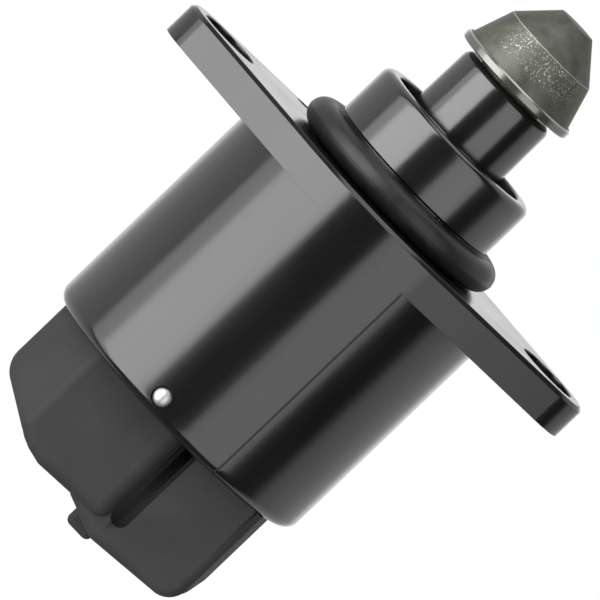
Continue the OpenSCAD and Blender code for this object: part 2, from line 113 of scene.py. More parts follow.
class Shell:
    # collects closed surfaces, in millimetres, and writes them as one mesh, in metres
    def __init__(self):
        self.points, self.faces, self.count = [], [], 0

    def add(self, points, faces):
        self.points.append(np.asarray(points, float))
        self.faces += [f + self.count for f in faces]
        self.count += len(points)
        return self

    def solid(self, name, material, sharp=40):
        mesh = bpy.data.meshes.new(name)
        points = np.vstack(self.points) * mm
        loops = np.concatenate([f.ravel() for f in self.faces])
        sizes = np.concatenate([np.full(len(f), f.shape[1]) for f in self.faces])
        mesh.vertices.add(len(points))
        mesh.vertices.foreach_set("co", points.astype(np.float32).ravel())
        mesh.loops.add(len(loops))
        mesh.loops.foreach_set("vertex_index", loops.astype(np.int32))
        mesh.polygons.add(len(sizes))
        mesh.polygons.foreach_set("loop_start", (np.cumsum(sizes) - sizes).astype(np.int32))
        mesh.update(calc_edges=True)
        mesh.validate()
        mesh.materials.append(material)
        closeUp(mesh, sharp)
        solid = bpy.data.objects.new(name, mesh)
        bpy.context.scene.collection.objects.link(solid)
        flatter = solid.modifiers.new("even_shading", "WEIGHTED_NORMAL")
        flatter.keep_sharp = True
        return solid

    def piece(self, name, body, slot, replaced, material=None, sharp=40):
        piece = self.solid(name, material or finish[slot], sharp)
        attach(piece, body)
        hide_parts(replaced)
        return piece


def revolved(profile, turns=256, ring=False, angles=None, push=None):
    # point = (r cos a, r sin a, z) for a turn a and a profile of (r, z); a ring profile closes on itself;
    # push(a, r, z) is added to r
    profile = np.asarray(profile, float)
    a = np.linspace(0, 2 * np.pi, turns, endpoint=False) if angles is None else angles
    turns = len(a)
    rows = profile if ring else profile[1:-1]
    r, z = rows[:, :1] + 0 * a, rows[:, 1:] + 0 * a
    if push:
        r = r + push(a + 0 * r, r, z)
    points = np.stack([r * np.cos(a), r * np.sin(a), z], -1).reshape(-1, 3)
    if ring:
        return points, [gridFaces(len(rows), turns, closeRows=True)]
    last = len(points)
    points = np.vstack([points, [[0, 0, profile[0, 1]], [0, 0, profile[-1, 1]]]])
    first = np.arange(turns)
    return points, [gridFaces(len(rows), turns), fan(first, last)[:, ::-1], fan(first + last - turns, last + 1)]


def hullOf(points, merge=0.002):
    # smallest convex surface round a cloud of points, as triangles; points closer than merge count as one
    cloud = bpy.data.meshes.new("cloud")
    cloud.from_pydata(points.tolist(), [], [])
    work = bmesh.new()
    work.from_mesh(cloud)
    bmesh.ops.remove_doubles(work, verts=work.verts, dist=merge)
    made = bmesh.ops.convex_hull(work, input=work.verts)
    spare = {item for key in ("geom_interior", "geom_unused") for item in made[key]
             if isinstance(item, bmesh.types.BMVert)}
    bmesh.ops.delete(work, geom=list(spare), context="VERTS")
    work.to_mesh(cloud)
    work.free()
    corners, loops = np.empty(len(cloud.vertices) * 3), np.empty(len(cloud.loops), int)
    cloud.vertices.foreach_get("co", corners)
    cloud.loops.foreach_get("vertex_index", loops)
    bpy.data.meshes.remove(cloud)
    return corners.reshape(-1, 3), [loops.reshape(-1, 3)]


def balled(balls, top=None, rows=96, cols=192):
    # hull of balls (x, y, z, radius): for a direction n the surface point is centre + radius n of the ball that
    # reaches furthest along n; with top, each ball also stands under a post that ends flat at that height
    balls = np.array(balls, float)
    polar = np.linspace(0, np.pi, rows + 2)[1:-1, None]
    turn = np.linspace(0, 2 * np.pi, cols, endpoint=False)[None]
    n = np.stack([np.sin(polar) * np.cos(turn), np.sin(polar) * np.sin(turn), np.cos(polar) + 0 * turn], -1)
    centres, radii = balls[:, :3], balls[:, 3]
    reach = n @ centres.T + radii
    pick = reach.argmax(-1)
    points = centres[pick] + n * radii[pick][..., None]
    if top is not None:
        level = np.column_stack([centres[:, :2], np.full(len(balls), top)])
        flat = n.copy()
        flat[..., 2] = 0
        span = np.linalg.norm(flat, axis=-1, keepdims=True)
        discReach = n @ level.T + radii * span
        discPick = discReach.argmax(-1)
        discPoint = level[discPick] + flat / span * radii[discPick][..., None]
        higher = discReach.max(-1) > reach.max(-1)
        points = np.where(higher[..., None], discPoint, points)
    return hullOf(points.reshape(-1, 3))


def boxSection(halfW, halfH, radius, extra, steps=10):
    # rounded rectangle: four quarter circles about the corners' centres; the lower left one is wider by extra
    quarter = np.linspace(0, np.pi / 2, steps + 1)
    corners = [(1, 1, 0, radius), (-1, 1, 90, radius), (-1, -1, 180, radius + extra), (1, -1, 270, radius)]
    parts = [np.column_stack([sx * (halfW - r) + r * np.cos(quarter + math.radians(turn)),
                              sz * (halfH - r) + r * np.sin(quarter + math.radians(turn))])
             for sx, sz, turn, r in corners]
    return np.vstack(parts)


def tunnel(sections, centre, extra):
    # rounded rectangles (half width, half height, corner radius, y) joined in order along Y, a fan at each end
    rings = []
    for halfW, halfH, radius, y in sections:
        flat = boxSection(halfW, halfH, radius, min(extra, halfH - radius))
        rings.append(np.column_stack([flat[:, 0] + centre[0], np.full(len(flat), y), flat[:, 1] + centre[1]]))
    cols = len(rings[0])
    points = np.vstack(rings)
    last = len(points)
    ends = [[centre[0], sections[0][3], centre[1]], [centre[0], sections[-1][3], centre[1]]]
    first = np.arange(cols)
    faces = [gridFaces(len(sections), cols), fan(first, last)[:, ::-1], fan(first + last - cols, last + 1)]
    return np.vstack([points, ends]), faces


def linear(hexColour):
    # sRGB hex to linear RGBA
    value = [int(hexColour[i:i + 2], 16) / 255 for i in (1, 3, 5)]
    return tuple(c / 12.92 if c <= 0.04045 else ((c + 0.055) / 1.055) ** 2.4 for c in value) + (1.0,)


def addNode(tree, kind, settings=None, links=None, output=None):
    # adds a node; links maps an input to a socket or to a plain value; gives back the named output, or the node
    item = tree.nodes.new(kind)
    for key, value in (settings or {}).items():
        setattr(item, key, value)
    for key, value in (links or {}).items():
        if isinstance(value, bpy.types.NodeSocket):
            tree.links.new(value, item.inputs[key])
        else:
            item.inputs[key].default_value = value
    return item.outputs[output] if output else item


def newMaterial(name, c):
    # c holds the shader's values, noise patterns (size in millimetres, detail, roughness, and the stretch of
    # the coordinates) and the size of cells
    material = bpy.data.materials.new(name)
    material.use_nodes = True
    tree = material.node_tree
    tree.nodes.clear()
    shader = addNode(tree, "ShaderNodeBsdfPrincipled", links=c["shader"])
    addNode(tree, "ShaderNodeOutputMaterial", links={"Surface": shader.outputs["BSDF"]})
    place = addNode(tree, "ShaderNodeTexCoord", output="Object")
    made = {}
    for key, (size, detail, rough, stretch) in c.get("patterns", {}).items():
        at = addNode(tree, "ShaderNodeMapping", links={"Vector": place, "Scale": stretch}, output="Vector")
        made[key] = addNode(tree, "ShaderNodeTexNoise", {"noise_dimensions": "3D"}, {
            "Vector": at, "Scale": 1 / (size * mm), "Detail": detail, "Roughness": rough}, "Fac")
    if "cells" in c:
        made["cells"] = addNode(tree, "ShaderNodeTexVoronoi", links={
            "Vector": place, "Scale": 1 / (c["cells"] * mm)}, output="Distance")
    return material, tree, shader, place, made


def dress(tree, shader, colour, roughness, relief=None, layers=None):
    # a pattern gives the colour between dark and light and the roughness between low and high: as noise keeps
    # to the middle, it counts as 0 below 0.3 and as 1 above 0.7; layers lie on top, each where its share is 1;
    # relief is a pattern and its depth in millimetres
    colour = (colour[0], linear(colour[1]), linear(colour[2]))
    for key, kind, (pattern, low, high) in (("Base Color", "RGBA", colour), ("Roughness", "FLOAT", roughness)):
        share = addNode(tree, "ShaderNodeMapRange", links={
            "Value": pattern, "From Min": 0.3, "From Max": 0.7}, output="Result")
        mixed = low
        for part, top in [(share, high)] + (layers or {}).get(key, []):
            mixed = addNode(tree, "ShaderNodeMix", {"data_type": kind}, {
                "Factor": part, "A": mixed, "B": top}, "Result")
        tree.links.new(mixed, shader.inputs[key])
    if relief:
        bumps = addNode(tree, "ShaderNodeBump", links={
            "Height": relief[0], "Distance": relief[1] * mm, "Strength": 1.0}, output="Normal")
        tree.links.new(bumps, shader.inputs["Normal"])


def patterned(name, c):
    # a material whose colour, roughness and relief each follow one of its patterns
    material, tree, shader, _, made = newMaterial(name, c)
    dress(tree, shader, *[(made[c[key][0]], *c[key][1:])
                          for key in ("colour", "roughness", "relief") if key in c])
    return material


even = (1, 1, 1)

# Glass-filled nylon, moulded in a polished tool: near black, with clear lamp reflections that a faint
# mottling of fibres just below the skin breaks up.
glassFilledNylon = {
    "shader": {"IOR": 1.53, "Specular IOR Level": 0.75, "Coat Weight": 0.35, "Coat Roughness": 0.12,
               "Coat IOR": 1.5},
    "patterns": {"fibres": (0.5, 4, 0.6, even), "flow": (6, 2, 0.5, (1, 1, 0.35))},
    "colour": ("fibres", "#0c0c0c", "#131313"), "roughness": ("flow", 0.16, 0.23), "relief": ("fibres", 0.0025),
}

# The same nylon where the tool has a polished insert, on the spigot and the neck: brighter reflections.
highGlossNylon = dict(glassFilledNylon, shader=dict(glassFilledNylon["shader"], **{"Specular IOR Level": 1.0}))

# The same nylon moulded in a spark-eroded tool: dull, with a fine even grain.
sparkTexturedNylon = {
    "shader": {"IOR": 1.53, "Specular IOR Level": 0.4},
    "patterns": {"grain": (0.18, 2, 0.5, even), "cloud": (4, 3, 0.5, even)},
    "colour": ("cloud", "#252525", "#2f2f2f"), "roughness": ("cloud", 0.68, 0.8), "relief": ("grain", 0.02),
}

# Nitrile rubber, pressed in a mould: soft sheen, a trace of bloom on it.
nitrileRubber = {
    "shader": {"IOR": 1.52, "Specular IOR Level": 0.5},
    "patterns": {"bloom": (1.6, 4, 0.6, even), "grain": (0.25, 2, 0.55, even)},
    "colour": ("bloom", "#141415", "#202021"), "roughness": ("bloom", 0.34, 0.5), "relief": ("grain", 0.006),
}

# Low-carbon sheet, zinc plated: soft blue-grey with faint spangle.
zincPlatedSheet = {
    "shader": {"Metallic": 1.0}, "cells": 1.1,
    "patterns": {"cloud": (0.6, 3, 0.55, even), "grain": (0.2, 3, 0.55, even)},
    "colour": ("cells", "#9da1a4", "#b6babd"), "roughness": ("cloud", 0.28, 0.42), "relief": ("grain", 0.003),
}

# Strontium ferrite, pressed and sintered: charcoal, grainy, almost matt.
sinteredFerrite = {
    "shader": {"IOR": 1.8},
    "patterns": {"grain": (0.15, 4, 0.65, even)},
    "colour": ("grain", "#38383b", "#4b4b4e"), "roughness": ("grain", 0.5, 0.68), "relief": ("grain", 0.012),
}

# Natural acetal, moulded: creamy, light gets a little way into it.
naturalAcetal = {
    "shader": {"IOR": 1.48, "Subsurface Weight": 0.15, "Subsurface Radius": (0.001, 0.0007, 0.0004),
               "Subsurface Scale": 1.0},
    "patterns": {"cloud": (2.5, 3, 0.55, even), "grain": (0.3, 3, 0.55, even)},
    "colour": ("cloud", "#dcd6c0", "#e8e3d2"), "roughness": ("cloud", 0.34, 0.44), "relief": ("grain", 0.004),
}

# Enamelled copper wire: amber lacquer over bright copper.
enamelledCopper = {
    "shader": {"Metallic": 1.0, "Coat Weight": 0.8, "Coat Roughness": 0.08, "Coat IOR": 1.55},
    "patterns": {"along": (0.7, 3, 0.55, even)},
    "colour": ("along", "#a4501f", "#c46f34"), "roughness": ("along", 0.2, 0.3),
}

# Sintered bronze, sized in a die: warm yellow-brown with open pores.
sinteredBronze = {
    "shader": {"Metallic": 1.0},
    "patterns": {"pores": (0.12, 4, 0.7, even)},
    "colour": ("pores", "#8d6a34", "#b98f4f"), "roughness": ("pores", 0.34, 0.5), "relief": ("pores", 0.006),
}

# Brass strip, stamped and tin plated: warm silver, rolled lines along the strip.
tinPlatedBrass = {
    "shader": {"Metallic": 1.0},
    "patterns": {"rolled": (0.1, 3, 0.6, (1, 0.06, 1))},
    "colour": ("rolled", "#c4c0ae", "#d8d5c8"), "roughness": ("rolled", 0.22, 0.36),
    "relief": ("rolled", 0.002),
}

# Bearing steel, ground and tumbled: pale grey, with highlights that spread a little.
steel = {
    "shader": {"Metallic": 1.0},
    "patterns": {"patches": (1.2, 4, 0.6, even)}, "line": 0.12, "depth": 0.002,
    "colour": ("#d2d3d4", "#ebecec"), "roughness": (0.42, 0.52),
}


def groundSteel(c):
    # fine lines run round the Z axis: noise that changes along the axis and across it, and not around it
    material, tree, shader, place, made = newMaterial("ground_steel", c)
    split = addNode(tree, "ShaderNodeSeparateXYZ", links={"Vector": place})
    x, y, z = (split.outputs[axis] for axis in "XYZ")
    flat = addNode(tree, "ShaderNodeCombineXYZ", links={"X": x, "Y": y}, output="Vector")
    across = addNode(tree, "ShaderNodeVectorMath", {"operation": "LENGTH"}, {0: flat}, "Value")
    rings = addNode(tree, "ShaderNodeCombineXYZ", links={"X": across, "Z": z}, output="Vector")
    lines = addNode(tree, "ShaderNodeTexNoise", links={
        "Vector": rings, "Scale": 1 / (c["line"] * mm), "Detail": 3, "Roughness": 0.6}, output="Fac")
    both = addNode(tree, "ShaderNodeMath", {"operation": "ADD"}, {0: lines, 1: made["patches"]}, "Value")
    half = addNode(tree, "ShaderNodeMath", {"operation": "MULTIPLY"}, {0: both, 1: 0.5}, "Value")
    dress(tree, shader, (half, *c["colour"]), (half, *c["roughness"]), (lines, c["depth"]))
    return material


# Aluminium, turned and hard anodised: olive grey and soft on the cones. In a belt below the ridge the tool's
# chatter leaves specks of relief and lower roughness, and a painted highlight lightens their colour, kept to
# the middle of the belt along X where the lamps' reflection falls; the ridge and the rim's edge carry thin
# painted highlights, and the rim is burnished. The chatter's specks are a little over 0.2 mm across. Ranges of
# the
# bands are in millimetres: heights along Z, the belt's width along X, and the rim's radius.
anodised = {
    "shader": {"Metallic": 0.85},
    "patterns": {"patches": (1.5, 4, 0.6, even), "lines": (0.09, 2, 0.5, (0.05, 0.05, 1)),
                 "specks": (0.17, 1, 0.4, (0.8, 0.8, 1.4)), "clusters": (2.4, 2, 0.55, even)},
    "colour": ("#595b52", "#707268"), "roughness": (0.47, 0.56), "depth": 0.006,
    "rim": (16.6, 17.64), "rimR": (6.7, 6.8), "rimColour": "#82837d", "rimRough": 0.2,
    "ridge": (21.77, 21.82), "rimLine": (17.5, 17.63), "bandSoft": 0.03, "edgeHighlightColour": "#b4b6aa",
    "belt": (19.3, 21.5), "beltSoft": 0.7, "paintedGlintX": (-2.6, 3.6), "paintedGlintXSoft": 1.8,
    "speckFrom": (0.58, 0.68), "clusterFrom": (0.36, 0.5), "clusterLow": 0.2,
    "paintedGlintColour": "#c6c8b8", "glintRough": 0.28, "glintHeight": 3.0,
}


def anodisedAluminium(c):
    material, tree, shader, place, made = newMaterial("hard_anodised_aluminium", c)
    times = {"operation": "MULTIPLY"}

    def band(value, limits, soft):
        # 1 between two limits, falling to 0 over soft on both sides
        low, high = limits
        rise = addNode(tree, "ShaderNodeMapRange", links={
            "Value": value, "From Min": (low - soft) * mm, "From Max": low * mm}, output="Result")
        fall = addNode(tree, "ShaderNodeMapRange", links={
            "Value": value, "From Min": high * mm, "From Max": (high + soft) * mm,
            "To Min": 1.0, "To Max": 0.0}, output="Result")
        return addNode(tree, "ShaderNodeMath", times, {0: rise, 1: fall}, "Value")

    split = addNode(tree, "ShaderNodeSeparateXYZ", links={"Vector": place})
    x, y, z = (split.outputs[axis] for axis in "XYZ")
    flat = addNode(tree, "ShaderNodeCombineXYZ", links={"X": x, "Y": y}, output="Vector")
    across = addNode(tree, "ShaderNodeVectorMath", {"operation": "LENGTH"}, {0: flat}, "Value")
    outside = addNode(tree, "ShaderNodeMapRange", links={
        "Value": across, "From Min": c["rimR"][0] * mm, "From Max": c["rimR"][1] * mm}, output="Result")
    rim, rimLine = (addNode(tree, "ShaderNodeMath", times, {
        0: band(z, c[key], c["bandSoft"]), 1: outside}, "Value") for key in ("rim", "rimLine"))
    # painted highlights: thin light bands of colour along the ridge and along the rim's top edge
    paintedEdgeHighlight = addNode(tree, "ShaderNodeMath", {"operation": "MAXIMUM"}, {
        0: band(z, c["ridge"], c["bandSoft"]), 1: rimLine}, "Value")
    # painted highlight: the specks' colour is made lighter in the belt, only in its middle along X where the
    # lamps' reflection falls; their lower roughness and relief are the chatter itself
    chatterAndPaintedGlint = addNode(tree, "ShaderNodeMath", times, {
        0: band(z, c["belt"], c["beltSoft"]), 1: band(x, c["paintedGlintX"], c["paintedGlintXSoft"])}, "Value")
    for key, (low, high), least in (("specks", c["speckFrom"], 0.0),
                                    ("clusters", c["clusterFrom"], c["clusterLow"])):
        share = addNode(tree, "ShaderNodeMapRange", links={
            "Value": made[key], "From Min": low, "From Max": high, "To Min": least}, output="Result")
        chatterAndPaintedGlint = addNode(tree, "ShaderNodeMath", times, {0: chatterAndPaintedGlint, 1: share}, "Value")
    height = addNode(tree, "ShaderNodeMath", {"operation": "MULTIPLY_ADD"}, {
        0: chatterAndPaintedGlint, 1: c["glintHeight"], 2: made["lines"]}, "Value")
    patches = made["patches"]
    dress(tree, shader, (patches, *c["colour"]), (patches, *c["roughness"]), (height, c["depth"]), {
        "Base Color": [(chatterAndPaintedGlint, linear(c["paintedGlintColour"])), (rim, linear(c["rimColour"])),
                       (paintedEdgeHighlight, linear(c["edgeHighlightColour"]))],
        "Roughness": [(chatterAndPaintedGlint, c["glintRough"]), (rim, c["rimRough"])]})
    return material


finish = {
    "black_nylon": patterned("glass_filled_nylon", glassFilledNylon),
    "cover_nylon": patterned("spark_textured_nylon", sparkTexturedNylon),
    "seal_rubber": patterned("nitrile_rubber", nitrileRubber),
    "pintle_metal": anodisedAluminium(anodised),
    "bright_steel": groundSteel(steel),
    "pole_steel": patterned("zinc_plated_sheet", zincPlatedSheet),
    "ferrite": patterned("sintered_ferrite", sinteredFerrite),
    "natural_plastic": patterned("natural_acetal", naturalAcetal),
    "copper_wire": patterned("enamelled_copper_wire", enamelledCopper),
    "bronze": patterned("sintered_bronze", sinteredBronze),
    "tin_plate": patterned("tin_plated_brass", tinPlatedBrass),
}
for part in frame["record"]["subparts"]:
    nodes[part["node"]].material_slots[0].material = finish[part["material_slot"]]
spigotNylon = patterned("high_gloss_nylon", highGlossNylon)
print("materials set:", len(finish) + 1)


cover = {
    # plug that closes the barrel
    "back": -29.0, "plugR": 13.7, "plugTop": -25.0, "plugDrop": 0.1, "plugRound": 0.4, "plugFoot": 0.25,
    # hood over the leads; the rises are above its lowest point, which is at footX
    "hoodLeft": -14.6, "hoodRight": 3.1, "hoodFront": -9.6, "hoodBack": 6.0, "hoodH": 12.0, "hoodRound": 2.9,
    "round": 1.5, "cheekFront": -2.0, "cheekRise": 2.6, "footX": -5.1, "slantRun": 3.0, "slantRise": 1.1,
    "bendRun": 1.4, "bendRise": 0.3, "heelRise": 0.5,
    # groove between the hood and the block
    "grooveW": 2.0, "grooveDepth": 1.7, "grooveGap": 0.02, "grooveRise": 1.2, "over": 1.0,
    # block beside the hood; the rises are above the lower side of the connector's shell
    "blockFront": -8.4, "blockRound": 2.4, "blockEdge": 1.0, "blockLean": 0.7, "blockIn": 4.85,
    "blockRise": 0.9, "keelOut": 0.5, "keelRise": -0.45, "cornerRise": 0.36, "rearRise": 0.4,
    # connector's shell and its socket
    "shellX": 1.5, "shellW": 24.0, "shellTop": -29.4, "shellH": 12.6, "shellStart": 3.0, "shellRound": 2.0,
    "shellCorner": 1.9, "shellTaper": 0.6, "shellStep": 0.4, "mouth": 19.0, "lip": 0.35, "lipDeep": 1.0,
    "wall": 1.5, "socket": 11.0, "socketRound": 0.8, "socketDraft": 0.02,
    "socketBend": ((0.1, 0.1), (0.3, 0.0)), "socketMiddle": (1.0, 0.5, 0.3),
    # latch wedge
    "latchW": 3.1, "latchH": 2.9, "latchRound": 0.7, "latchStart": 1.2, "latchRidge": 3.0, "latchEnd": 2.7,
    "latchRoot": (0.8, 0.6),
}


def carved(piece, cutter):
    # piece less cutter, worked out once so that no boolean is left on the piece
    cut = piece.modifiers.new("cut", "BOOLEAN")
    cut.operation, cut.solver, cut.object = "DIFFERENCE", "EXACT", cutter
    bpy.context.view_layer.update()
    done = bpy.data.meshes.new_from_object(piece.evaluated_get(bpy.context.evaluated_depsgraph_get()))
    piece.modifiers.remove(cut)
    piece.data = done
    bpy.data.objects.remove(cutter)
    closeUp(done)


def hoodShell(c):
    # hull of balls: wide ones at the left cheek, small ones along the lower edge at the front and at the rear
    r, side, low = c["round"], c["hoodRound"], c["back"] - c["hoodH"]
    left, right, front, rear = c["hoodLeft"] + side, c["hoodRight"] - r, c["hoodFront"] + r, c["hoodBack"] - r
    cheek, foot = low + c["cheekRise"] + side, c["footX"]
    balls = [(left, c["hoodBack"] - side, cheek, side), (left, c["cheekFront"], cheek, side),
             (foot - c["slantRun"], front, low + c["slantRise"] + r, r)]
    for y in (rear, front):
        balls += [(foot - c["bendRun"], y, low + c["bendRise"] + r, r), (foot, y, low + r, r),
                  (right, y, low + c["heelRise"] + r, r)]
    return balled(balls, top=c["back"])


def blockShell(c):
    # hull of balls; the lower corner is wide seen from the front, and its front edge is tight: small balls
    # along a quarter circle
    r, b, edge, low = c["round"], c["blockRound"], c["blockEdge"], c["shellTop"] - c["shellH"]
    left, right, front = c["hoodRight"] - c["blockIn"] + r, c["shellX"] + c["shellW"] / 2 - b, c["blockFront"]
    rear = c["shellStart"] + r
    turn, one = np.linspace(-math.pi / 2, 0, 9), np.ones(9)
    corner = np.column_stack([
        right + (b - edge) * np.cos(turn), (front + c["blockLean"] + edge) * one,
        low + c["cornerRise"] + b + (b - edge) * np.sin(turn), edge * one])
    return balled(corner.tolist() + [
        (left, front + r, low + c["blockRise"] + r, r),
        (c["hoodRight"] + c["keelOut"], front + r, low + c["keelRise"] + r, r),
        (right, rear, low + c["rearRise"] + b, b), (left, rear, low + r, r)], top=c["back"], rows=128, cols=256)


def socketShell(c):
    # rounded rectangles along Y: the shell up to its mouth, round the lip, and back in to the socket's floor
    halfW, halfH, wall, lip = c["shellW"] / 2, c["shellH"] / 2, c["wall"], c["lip"]
    start, mouth, floor = c["shellStart"], c["mouth"], c["mouth"] - c["socket"]
    outer, inner, taper = c["shellRound"], c["socketRound"], c["shellTaper"]
    inW, inH, draft = halfW - wall, halfH - wall, c["socketDraft"]
    turn = np.linspace(0, math.pi / 2, 5)
    over = lip - lip * np.cos(turn)
    along = mouth - lip + lip * np.sin(turn)
    sections = [(halfW - taper, halfH - taper, outer - taper, start), (halfW, halfH, outer, start + taper)]
    sections += [(halfW, halfH, outer, y)
                 for y in np.linspace(start + taper + c["shellStep"], mouth - c["shellStep"], 5)]
    sections += [(halfW - g, halfH - g, outer - g, y) for g, y in zip(over, along)]
    sections += [(inW + g, inH + g, inner + g, y) for g, y in zip(over[::-1], along[::-1])]
    sections += [(inW - draft, inH - draft, inner, y)
                 for y in np.linspace(mouth - c["lipDeep"], floor + c["socketBend"][-1][0], 5)]
    sections += [(inW - inset, inH - inset, inner - inset, floor + rise) for inset, rise in c["socketBend"]]
    sections += [(*c["socketMiddle"], floor)]
    return tunnel(sections, (c["shellX"], c["shellTop"] - halfH), c["shellCorner"])


def latchWedge(c):
    # hull of small balls: a ramp that rises from near the mouth to a ridge under the shell
    low, floor, soft = c["shellTop"] - c["shellH"], c["mouth"] - c["socket"], c["latchRound"]
    half, ridge = c["latchW"] / 2 - soft, low - c["latchH"] + soft
    start, end = floor + c["latchStart"], c["mouth"] - c["latchEnd"]
    ramp = [(start, ridge), (floor + c["latchRidge"], ridge),
            (start, low + c["latchRoot"][0]), (end, low + c["latchRoot"][1])]
    return balled([(c["shellX"] + s * half, y, z, soft) for s in (-1, 1) for y, z in ramp])


def rearCover(c):
    block = Shell().add(*blockShell(c)).piece(
        "rear_cover_block", "valve_body", "cover_nylon", "connector_housing")
    r, x = c["grooveW"] / 2 - c["grooveGap"], c["hoodRight"] + c["grooveW"] / 2
    z = c["back"] - c["hoodH"] + c["grooveRise"] + r
    ends = [(x, c["hoodFront"] - 2 * c["over"], z, r), (x, c["blockFront"] + c["grooveDepth"] - r, z, r)]
    groove = Shell().add(*balled(ends, top=c["back"] + c["over"], rows=24, cols=48))
    carved(block, groove.solid("groove_cutter", finish["cover_nylon"]))
    foot = c["back"] - c["plugDrop"]
    plug = roundCorners([(0, foot, 0), (c["plugR"], foot, c["plugFoot"]),
                         (c["plugR"], c["plugTop"], c["plugRound"]), (0, c["plugTop"], 0)], 6)
    shell = Shell().add(*hoodShell(c)).add(*socketShell(c)).add(*latchWedge(c)).add(*revolved(plug, 192))
    shell.piece("rear_cover", "valve_body", "cover_nylon", "connector_housing")


rearCover(cover)
print("rear cover built")


# housing: a flange plate with its holes, and a barrel with the spigot turned in one piece
housing = {
    # flange
    "bodyR": 16.0, "endR": 4.95, "span": 44.5, "holeR": 3.25, "holeRound": 0.15, "thick": 3.7, "bevel": 0.4,
    "soft": 0.12, "lowerEdge": 0.03, "middleR": 8.7,
    # keying pocket in the mounting face
    "pocketX": -12.6, "pocketIn": 1.3, "pocketL": 4.4, "pocketW": 1.5, "pocketDeep": 1.6, "pocketDraft": 0.02,
    "pocketRim": 0.1, "pocketFloor": 0.3,
    # barrel
    "back": -29.0, "round": 1.35, "shoulder": -2.2, "shoulderIn": 0.5, "flangeGap": 0.004,
    "cavityR": 13.8, "cavityTop": -5.6, "bearingR": 6.52, "bearingTop": -2.0, "boreR": 5.77, "boreMiddle": 2.0,
    # spigot
    "spigotR": 9.83, "spigotL": 9.5, "spigotRound": 0.9, "recessR": 8.15, "recessDeep": 2.2,
    "grooveR": 9.23, "grooveTop": 3.5,
    # mould's seam and the pin's hole
    "seamTurn": -62.4, "seamW": 0.07, "seamDeep": 0.05, "skin": 1.2,
    "pinTurn": 265.3, "pinZ": -27.05, "pinHoleR": 1.08, "over": 1.0,
}


def loopStrip(outline, normals, steps):
    # each step (inset, z) moves the whole outline inwards along its normals
    one = np.ones(len(outline))
    return np.vstack([np.column_stack([outline - inset * normals, z * one]) for inset, z in steps])


def circleLoop(x, y, radius, count):
    # centre + radius n, and the normals n
    t = np.linspace(0, 2 * np.pi, count, endpoint=False)
    n = np.column_stack([np.cos(t), np.sin(t)])
    return np.array([x, y]) + radius * n, n


def flangeLoop(c, tangent, count):
    # outline of three circles under a tight band: centre + radius n, where the circle changes at the tangents
    side = math.pi / 2 - tangent
    parts = [(c["span"] / 2, c["endR"], -side, side), (0, c["bodyR"], side, math.pi - side),
             (-c["span"] / 2, c["endR"], math.pi - side, math.pi + side),
             (0, c["bodyR"], math.pi + side, 2 * math.pi - side)]
    loop, normals = [], []
    for x, radius, start, end in parts:
        t = np.linspace(start, end, count)
        n = np.column_stack([np.cos(t), np.sin(t)])
        loop.append(np.array([x, 0]) + radius * n)
        normals.append(n)
    return np.vstack(loop), np.vstack(normals)


def pocketLoop(c, tangent):
    # slot along the flange's edge: two half circles, moved apart, turned to the edge and set a little inside it
    along = np.array([math.cos(tangent), math.sin(tangent)])
    across = np.array([-along[1], along[0]])
    edgeY = c["bodyR"] * math.cos(tangent) + (c["pocketX"] + c["bodyR"] * math.sin(tangent)) * math.tan(tangent)
    middle = np.array([c["pocketX"], edgeY]) - across * c["pocketIn"]
    flat, t = (c["pocketL"] - c["pocketW"]) / 2, np.linspace(-np.pi / 2, np.pi / 2, 16)
    n = np.column_stack([np.concatenate([np.cos(t), -np.cos(t)]), np.concatenate([np.sin(t), -np.sin(t)])])
    shift = np.column_stack([np.repeat([flat, -flat], len(t)), np.zeros(2 * len(t))])
    turnTo = np.array([along, across])
    return middle + (n * c["pocketW"] / 2 + shift) @ turnTo, n @ turnTo, middle


def flatCap(loops, z):
    # triangles between an outline and the convex loops inside it, at height z; one with all its corners on one
    # inner loop lies in that hole
    points = np.vstack(loops)
    owner = np.repeat(np.arange(len(loops)), [len(loop) for loop in loops])
    edges, start = [], 0
    for loop in loops:
        i = np.arange(len(loop))
        edges += np.column_stack([i + start, (i + 1) % len(loop) + start]).tolist()
        start += len(loop)
    _, _, faces, source, _, _ = delaunay_2d_cdt([Vector(q) for q in points], edges, [], 1, 1e-6)
    source = np.array([q[0] for q in source])
    faces = source[np.array(faces)]
    on = owner[faces]
    hole = (on[:, 0] == on[:, 1]) & (on[:, 1] == on[:, 2]) & (on[:, 0] > 0)
    return np.column_stack([points, np.full(len(points), z)]), faces[~hole]


